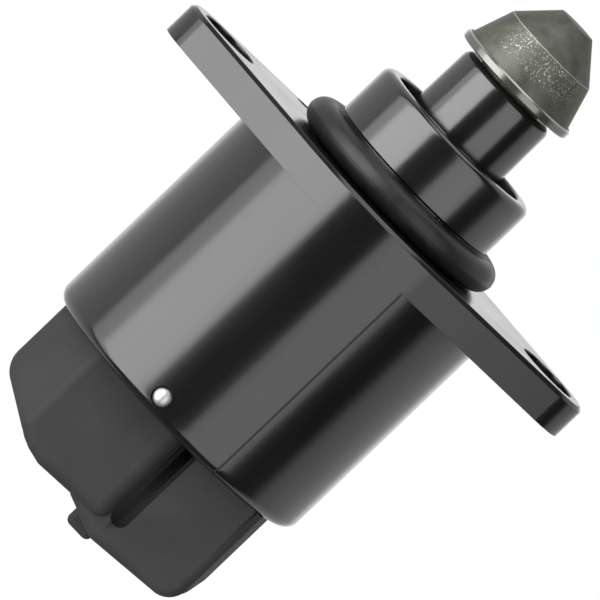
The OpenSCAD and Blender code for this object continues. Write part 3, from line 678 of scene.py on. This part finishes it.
def flangePlate(c):
    # side walls are strips that follow the outline and each hole; two flat caps join their edges
    tangent = math.asin((c["bodyR"] - c["endR"]) / (c["span"] / 2))
    outline, normals = flangeLoop(c, tangent, 72)
    pocket, pocketNormals, middle = pocketLoop(c, tangent)
    low, bevel, deep, lead = -c["thick"], c["bevel"], -c["pocketDeep"], 0.6
    edge = roundCorners([(bevel + lead, 0, 0), (bevel, 0, c["soft"]), (0, -bevel, c["soft"]),
                         (0, low, c["lowerEdge"]), (lead, low, 0)], 4)[1:-1]
    bore = roundCorners([(-lead, 0, 0), (0, 0, c["holeRound"]), (0, low, c["holeRound"]),
                         (-lead, low, 0)], 4)[1:-1]
    pit = roundCorners([(-lead, 0, 0), (0, 0, c["pocketRim"]), (c["pocketDraft"], deep, c["pocketFloor"]),
                        (lead, deep, 0)], 3)[1:-1]
    strip = loopStrip(outline, normals, edge)
    shell = Shell().add(strip, [gridFaces(len(edge), len(outline))])
    upper, lower = [strip[:len(outline), :2]], [strip[-len(outline):, :2]]
    holes = [circleLoop(s * c["span"] / 2, 0, c["holeR"], 96) for s in (-1, 1)]
    for loop, loopNormals in holes + [circleLoop(0, 0, c["middleR"], 96)]:
        strip = loopStrip(loop, loopNormals, bore)
        shell.add(strip, [gridFaces(len(bore), len(loop))[:, ::-1]])
        upper.append(strip[:len(loop), :2])
        lower.append(strip[-len(loop):, :2])
    strip = loopStrip(pocket, pocketNormals, pit)
    floorRing = np.arange(len(pocket)) + len(strip) - len(pocket)
    shell.add(np.vstack([strip, [[*middle, deep]]]),
              [gridFaces(len(pit), len(pocket))[:, ::-1], fan(floorRing, len(strip))[:, ::-1]])
    points, faces = flatCap(upper + [strip[:len(pocket), :2]], 0)
    shell.add(points, [faces])
    points, faces = flatCap(lower, low)
    return shell.add(points, [faces[:, ::-1]])


def barrel(c):
    # turned profile of (r, z, corner radius): up the bore, over the spigot, down the outside and up the cavity
    back, r, neckFoot = c["back"], c["bodyR"], c["spigotL"] - c["recessDeep"]
    profile = roundCorners([
        (c["boreR"], c["boreMiddle"], 0), (c["boreR"], neckFoot, 0.15), (c["recessR"], neckFoot, 0.15),
        (c["recessR"], c["spigotL"], 0.2), (c["spigotR"], c["spigotL"], c["spigotRound"]),
        (c["spigotR"], c["grooveTop"], 0.1), (c["grooveR"], c["grooveTop"], 0.15),
        (c["grooveR"], c["shoulder"], 0), (r - c["shoulderIn"], c["shoulder"], 0),
        (r - c["shoulderIn"], c["flangeGap"] - c["thick"], 0), (r, -c["thick"], 0), (r, back, c["round"]),
        (c["cavityR"], back, 0.15), (c["cavityR"], c["cavityTop"], 0.3),
        (c["bearingR"], c["cavityTop"], 0.2), (c["bearingR"], c["bearingTop"], 0.1),
        (c["boreR"], c["bearingTop"], 0.1)], 10)
    seam, width = math.radians(c["seamTurn"]) % (2 * math.pi), c["seamW"] / r
    near = seam + np.linspace(-3, 3, 13) * width
    wide = np.linspace(0, 2 * np.pi, 320, endpoint=False)
    angles = np.sort(np.concatenate([wide[np.abs(wide - seam) > 4 * width], near]))

    def seamLine(a, radius, z):
        # a narrow bell-shaped groove down the outside, where the two halves of the mould met
        line = np.exp(-((a - seam) / width) ** 2)
        return -c["seamDeep"] * line * ((radius > r - c["skin"]) & (z < hair - c["thick"]))

    return Shell().add(*revolved(profile, ring=True, angles=angles, push=seamLine))


def housingPieces(c):
    flangePlate(c).piece("housing_flange", "valve_body", "black_nylon", "housing")
    body = barrel(c).piece("housing_barrel", "valve_body", "black_nylon", "housing")
    # the hole's cutter is a cylinder laid along the pin
    turn, start, end = math.radians(c["pinTurn"]), c["cavityR"] - c["over"], c["bodyR"] + c["over"]
    points, faces = revolved([(0, start), (c["pinHoleR"], start), (c["pinHoleR"], end), (0, end)], 64)
    x, y, z = points.T
    points = np.column_stack([z * math.cos(turn) - y * math.sin(turn), z * math.sin(turn) + y * math.cos(turn),
                              x + c["pinZ"]])
    carved(body, Shell().add(points, faces).solid("pin_hole_cutter", finish["black_nylon"]))
    # everything above the mounting face is the spigot
    body.data.materials.append(spigotNylon)
    faces = body.data.polygons
    centres = np.empty(len(faces) * 3)
    faces.foreach_get("center", centres)
    faces.foreach_set("material_index", (centres[2::3] > 0).astype(np.int32))
    body.data.update()


housingPieces(housing)
print("housing built")


seal = {"ringR": 10.88, "thick": 3.2, "z": 1.65, "flashW": 0.09, "flash": 0.03}


def sealRing(c):
    # circle carried round the axis; the mould's parting line stands out on its inner and outer side
    t, r = np.linspace(0, 2 * np.pi, 96, endpoint=False), c["thick"] / 2
    radius = r - c["flash"] * (1 - np.exp(-(np.sin(t) * r / c["flashW"]) ** 2))
    profile = np.column_stack([c["ringR"] + radius * np.cos(t), c["z"] + radius * np.sin(t)])
    Shell().add(*revolved(profile, 288, ring=True)).piece("seal_ring", "valve_body", "seal_rubber", "o_ring")


sealRing(seal)


neck = {
    "baseR": 5.75, "tipR": 5.625, "top": 16.3, "round": 0.85, "low": -1.98, "recess": 7.3,
    "boreR": 3.9, "boreMiddle": 0.5, "keyR": 4.8, "keyW": 1.3, "keyTop": 15.6, "step": 0.02, "keySide": 0.01,
}


def neckPiece(c):
    # a tapered tube; two keyways widen its bore: where |r sin a| is less than half their width, it lies at
    # keyR, and keySide is half the turn, in radians, that a keyway's side takes
    bore, top = c["boreR"], c["top"]
    profile = roundCorners([
        (bore, 0, 0), (bore, c["low"], 0.1), (c["baseR"], c["low"], 0.1), (c["baseR"], c["recess"], 0),
        (c["tipR"], top, c["round"]), (bore, top, 0.15), (bore, c["keyTop"] + c["step"], 0),
        (bore, c["keyTop"], 0), (bore, c["boreMiddle"], 0)], 10)
    half = math.asin(c["keyW"] / 2 / bore)
    edge = half + np.array([-1, 1]) * c["keySide"]
    turns = np.concatenate([np.linspace(0, 2 * np.pi, 224, endpoint=False)]
                           + [s * edge + k * np.pi for s in (-1, 1) for k in (0, 1)])
    turns = np.unique(np.round(turns % (2 * np.pi), 6))

    def keyway(a, radius, z):
        inside = (np.abs(np.sin(a)) < math.sin(half)) & (radius < bore + hair) & (z < c["keyTop"] + hair)
        return inside * (c["keyR"] - bore)

    Shell().add(*revolved(profile, ring=True, angles=turns, push=keyway)).piece(
        "neck_guide", "valve_body", "black_nylon", "neck", spigotNylon)


neckPiece(neck)


pintle = {
    "z": 16.7, "rimR": 6.975, "rimT": 0.95, "rimFoot": 0.15, "rimBevel": 0.2,
    "baseR": 6.575, "ridgeR": 5.25, "lower": 4.15, "tipR": 2.05, "upper": 3.5,
    "stemR": 3.85, "stemL": 12.1, "boreR": 2.02, "tipBoreR": 1.72, "step": 11.85, "boreTop": 20.95,
    "keyR": 4.75, "keyIn": 0.4, "keyW": 1.2, "keyH": 2.8, "keyRound": 0.12,
}


def pintlePiece(c):
    # turned profile of (r, z, corner radius): down the screw's bore, up the stem, and up the rim and the cones
    z, rim, foot, bevel = c["z"], c["rimR"], c["rimFoot"], c["rimBevel"]
    rimTop, stem = z + c["rimT"], z - c["stemL"]
    ridge = rimTop + c["lower"]
    tip = ridge + c["upper"]
    profile = roundCorners([
        (0, c["boreTop"], 0), (c["tipBoreR"], c["boreTop"], 0), (c["tipBoreR"], c["step"], 0),
        (c["boreR"], c["step"], 0), (c["boreR"], stem, 0.1), (c["stemR"], stem, 0.15), (c["stemR"], z, 0.1),
        (rim - foot, z, 0.05), (rim, z + foot, 0.05), (rim, rimTop - bevel, 0.05), (rim - bevel, rimTop, 0.06),
        (c["baseR"], rimTop, 0.05), (c["ridgeR"], ridge, 0.1), (c["tipR"], tip, 0.1), (0, tip, 0)], 4)
    shell = Shell().add(*revolved(profile, 256))
    # two keys beside the stem's foot: hulls of small balls
    r, half = c["keyRound"], c["keyW"] / 2 - c["keyRound"]
    for s in (-1, 1):
        key = [(s * x, y, h, r) for x in (c["stemR"] - c["keyIn"], c["keyR"] - r) for y in (-half, half)
               for h in (stem + r, stem + c["keyH"] - r)]
        shell.add(*balled(key, rows=24, cols=48))
    shell.piece("pintle_head", "pintle", "pintle_metal", "pintle", sharp=50)


pintlePiece(pintle)


screw = {
    "r": 2.0, "rootR": 1.62, "pitch": 1.0, "low": -23.0, "high": 11.83, "tipR": 1.7, "tipZ": 20.85,
    "chamfer": 0.5, "tipBevel": 0.2, "plain": 0.4, "lastRow": 0.3, "fade": 0.6, "flank": 1.6,
}


def screwPiece(c):
    # thread: the radius is a rounded trapezoid wave of z / pitch - turn / 360, faded out at both ends
    low, high, r, bevel = c["low"], c["high"], c["r"], c["tipBevel"]
    rows = np.arange(low + c["chamfer"], high - c["plain"], c["pitch"] / 12)
    rows = np.concatenate([[low], rows, [high - c["lastRow"], high]])
    radii = np.concatenate([[r - c["chamfer"]], np.full(len(rows) - 1, r)])
    tip = [(c["tipR"], high), (c["tipR"], c["tipZ"] - bevel), (c["tipR"] - bevel, c["tipZ"]), (0, c["tipZ"])]
    profile = [(0, low)] + list(zip(radii, rows)) + tip

    def thread(a, radius, z):
        wave = np.sin(2 * np.pi * (z / c["pitch"] - a / (2 * np.pi)))
        cut = np.clip(0.5 + c["flank"] * wave, 0, 1) * (r - c["rootR"])
        start = np.clip((z - low - c["plain"]) / c["fade"], 0, 1)
        return -cut * start * np.clip((high - c["fade"] - z) / c["fade"], 0, 1)

    Shell().add(*revolved(profile, 96, push=thread)).piece(
        "lead_screw_thread", "pintle", "bright_steel", "lead_screw")


screwPiece(screw)


blade = {"legW": 1.6, "thick": 0.8, "edge": 0.06, "tipW": 1.7, "tipT": 0.3, "taper": 0.9}


def contactPiece(name, c):
    # strip bent at a right angle: a blade whose end tapers both ways, and a leg that rises from its rear end
    low, high = (np.array(q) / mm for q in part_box(name))
    x, z, e, half = (low[0] + high[0]) / 2, low[2] + c["thick"] / 2, c["edge"], c["thick"] / 2
    bladeW, end = (high[0] - low[0]) / 2 - e, high[1]
    legW, tipW, tipT = c["legW"] / 2 - e, c["tipW"] / 2 - e, c["tipT"] / 2 - e
    sides = [(a, b) for a in (-1, 1) for b in (-1, 1)]
    flat = [(x + a * bladeW, y, z + b * (half - e), e)
            for a, b in sides for y in (low[1] + e, end - c["taper"])]
    flat += [(x + a * tipW, end - e, z + b * tipT, e) for a, b in sides]
    leg = [(x + a * legW, low[1] + half + b * (half - e), h, e)
           for a, b in sides for h in (low[2] + e, high[2] - e)]
    shell = Shell().add(*balled(flat, rows=24, cols=48)).add(*balled(leg, rows=24, cols=48))
    shell.piece(name.replace("terminal", "contact_blade"), "valve_body", "tin_plate", name)


for i in (1, 2, 3, 4):
    contactPiece("terminal_" + str(i), blade)


winding = {"wire": 0.28, "innerR": 8.37}


def windingPiece(name, c):
    # coil of round wire in level layers: the outside is a row of half circles, one for each turn
    low, high = (np.array(q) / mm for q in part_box(name))
    inner, outer = c["innerR"], high[0]
    turns = int((high[2] - low[2]) / c["wire"])
    t = np.linspace(0, np.pi, 5)[:-1]
    centres = low[2] + (high[2] - low[2]) * (np.arange(turns) + 0.5) / turns
    half = (high[2] - low[2]) / turns / 2
    z = (centres[:, None] - half * np.cos(t)).ravel()
    r = (outer - half + half * np.sin(t) + 0 * centres[:, None]).ravel()
    ends = [(outer - half, high[2]), (inner, high[2])]
    profile = np.vstack([[(inner, low[2])], np.column_stack([r, z]), ends])
    Shell().add(*revolved(profile, 128, ring=True)).piece(name + "_wire", "valve_body", "copper_wire", name)


for name in ("winding_front", "winding_rear"):
    windingPiece(name, winding)
print("seal, neck, pintle, screw, contacts and windings built")


# floor in metres; shade, side and behind are the levels that gloss sees of the room, up to or from a cosine
# of the angle to the middle of the backdrop, and fill lights the rest
room = {
    # floorMirrored is a painted reflection: the darker grey that glossy rays see in place of the board's colour
    "floorZ": -0.7, "floorR": 0.32, "floorColour": "#f2f2f0", "floorMirrored": "#484848",
    "fill": 0.34, "shade": 0.02, "side": 0.58, "behind": 1.0, "backTurn": 181.6, "steepness": -0.3,
    "shadeTo": -0.12, "sideFrom": 0.1, "sideTo": 0.8, "behindFrom": 0.93,
}


def buildRoom(c):
    thick = 2
    points, faces = revolved([(0, 0), (c["floorR"] / mm, 0), (c["floorR"] / mm, -thick), (0, -thick)], 96)
    floorMesh = bpy.data.meshes.new("floor")
    points = points * mm + [0, 0, c["floorZ"]]
    floorMesh.from_pydata(points.tolist(), [], [face for grid in faces for face in grid.tolist()])
    floor = bpy.data.objects.new("floor", floorMesh)
    bpy.context.scene.collection.objects.link(floor)
    # a pale board; for glossy rays it takes a darker grey, a painted reflection, so the gloss of the plastic
    # shows the lower side of the room dark
    material, tree, shader, _, _ = newMaterial("painted_board", {"shader": {"Roughness": 0.8}})
    mirrored = addNode(tree, "ShaderNodeLightPath", output="Is Glossy Ray")
    board = addNode(tree, "ShaderNodeMix", {"data_type": "RGBA"}, {
        "Factor": mirrored, "A": linear(c["floorColour"]), "B": linear(c["floorMirrored"])}, "Result")
    tree.links.new(board, shader.inputs["Base Color"])
    floorMesh.materials.append(material)

    world = bpy.data.worlds.new("studio")
    world.use_nodes = True
    tree = world.node_tree
    tree.nodes.clear()
    direction = addNode(tree, "ShaderNodeTexCoord", output="Generated")
    turn = math.radians(c["backTurn"])
    ahead = addNode(tree, "ShaderNodeVectorMath", {"operation": "DOT_PRODUCT"}, {
        0: direction, 1: (math.sin(turn), -math.cos(turn), 0)}, "Value")
    height = addNode(tree, "ShaderNodeSeparateXYZ", links={"Vector": direction}, output="Z")
    steep = addNode(tree, "ShaderNodeMath", {"operation": "ABSOLUTE"}, {0: height}, "Value")
    facing = addNode(tree, "ShaderNodeMath", {"operation": "MULTIPLY_ADD"}, {
        0: steep, 1: c["steepness"], 2: ahead}, "Value")
    share = addNode(tree, "ShaderNodeMapRange", links={
        "Value": facing, "From Min": -1.0, "From Max": 1.0}, output="Result")
    # the backdrop curls round both sides of the object, dimmer at its ends, and the camera's side is dark
    ramp = addNode(tree, "ShaderNodeValToRGB", links={"Fac": share})
    ramp.color_ramp.interpolation = "EASE"
    stops = [("shadeTo", "shade"), ("sideFrom", "side"), ("sideTo", "side"), ("behindFrom", "behind")]
    for i, (cosine, level) in enumerate((c[at], c[key]) for at, key in stops):
        stop = ramp.color_ramp.elements[i] if i < 2 else ramp.color_ramp.elements.new(0.5 + cosine / 2)
        stop.position, stop.color = 0.5 + cosine / 2, (level, level, level, 1)
    path = addNode(tree, "ShaderNodeLightPath")
    larger = {"operation": "MAXIMUM"}
    mirrored = addNode(tree, "ShaderNodeMath", larger, {
        0: path.outputs["Is Glossy Ray"], 1: path.outputs["Is Transmission Ray"]}, "Value")
    seen = addNode(tree, "ShaderNodeMix", {"data_type": "FLOAT"}, {
        "Factor": mirrored, "A": c["fill"], "B": ramp.outputs["Color"]}, "Result")
    strength = addNode(tree, "ShaderNodeMath", larger, {0: seen, 1: path.outputs["Is Camera Ray"]}, "Value")
    light = addNode(tree, "ShaderNodeBackground", links={"Color": (1, 1, 1, 1), "Strength": strength})
    addNode(tree, "ShaderNodeOutputWorld", links={"Surface": light.outputs["Background"]})
    bpy.context.scene.world = world


# turn is the angle from the camera's side towards +X; radiance is what a mirror would show; lengths in metres
lamps = {
    "soft_box_left": {"turn": -46.8, "lift": 0, "away": 0.8, "width": 0.71, "height": 2.2, "radiance": 3.6},
    "soft_box_left_end": {"turn": -79, "lift": 0, "away": 0.84, "width": 0.22, "height": 2.2, "radiance": 1.7},
    "soft_box_right": {"turn": 38.0, "lift": 0, "away": 1.0, "width": 0.78, "height": 2.4, "radiance": 1.3},
    "soft_box_top": {"turn": 0, "lift": 89, "away": 1.1, "width": 0.8, "height": 0.8, "radiance": 1.2},
}


def buildLamps(lamps):
    for name, c in lamps.items():
        turn, lift = math.radians(c["turn"]), math.radians(c["lift"])
        towards = Vector((math.sin(turn) * math.cos(lift), -math.cos(turn) * math.cos(lift), math.sin(lift)))
        data = bpy.data.lights.new(name, "AREA")
        data.shape = "RECTANGLE"
        data.size, data.size_y = c["width"], c["height"]
        data.energy = c["radiance"] * math.pi * c["width"] * c["height"]
        lamp = bpy.data.objects.new(name, data)
        bpy.context.scene.collection.objects.link(lamp)
        turnTo = towards.to_track_quat("Z", "Y").to_matrix().to_4x4()
        lamp.matrix_world = Matrix.Translation(towards * c["away"]) @ turnTo
        lamp.visible_camera = False


# angles in degrees; away in metres; width of the view, aim and the shifts right and up in millimetres
view = {"turn": 1.62, "lift": 5.5, "roll": 46.275, "away": 1.5, "width": 57.97, "aim": (0, 0, -8),
        "right": 2.82, "up": 3.58, "sensor": 36}


def buildCamera(c):
    turn, lift, roll = (math.radians(c[k]) for k in ("turn", "lift", "roll"))
    forward = Vector((-math.sin(turn) * math.cos(lift), math.cos(turn) * math.cos(lift), -math.sin(lift)))
    level = Vector((math.cos(turn), math.sin(turn), 0))
    upright = level.cross(forward)
    right = level * math.cos(roll) + upright * math.sin(roll)
    up = upright * math.cos(roll) - level * math.sin(roll)
    centre = Vector(c["aim"]) * mm - (right * c["right"] + up * c["up"]) * mm
    data = bpy.data.cameras.new("camera")
    data.sensor_width = c["sensor"]
    data.lens = c["sensor"] * c["away"] / (c["width"] * mm)
    data.clip_start, data.clip_end = 0.1, 10
    camera = bpy.data.objects.new("camera", data)
    bpy.context.scene.collection.objects.link(camera)
    turnTo = Matrix((right, up, -forward)).transposed().to_4x4()
    camera.matrix_world = Matrix.Translation(centre - forward * c["away"]) @ turnTo
    bpy.context.scene.camera = camera


buildRoom(room)
buildLamps(lamps)
buildCamera(view)
bpy.context.scene.view_settings.view_transform = "Standard"
print("room, lamps and camera set")
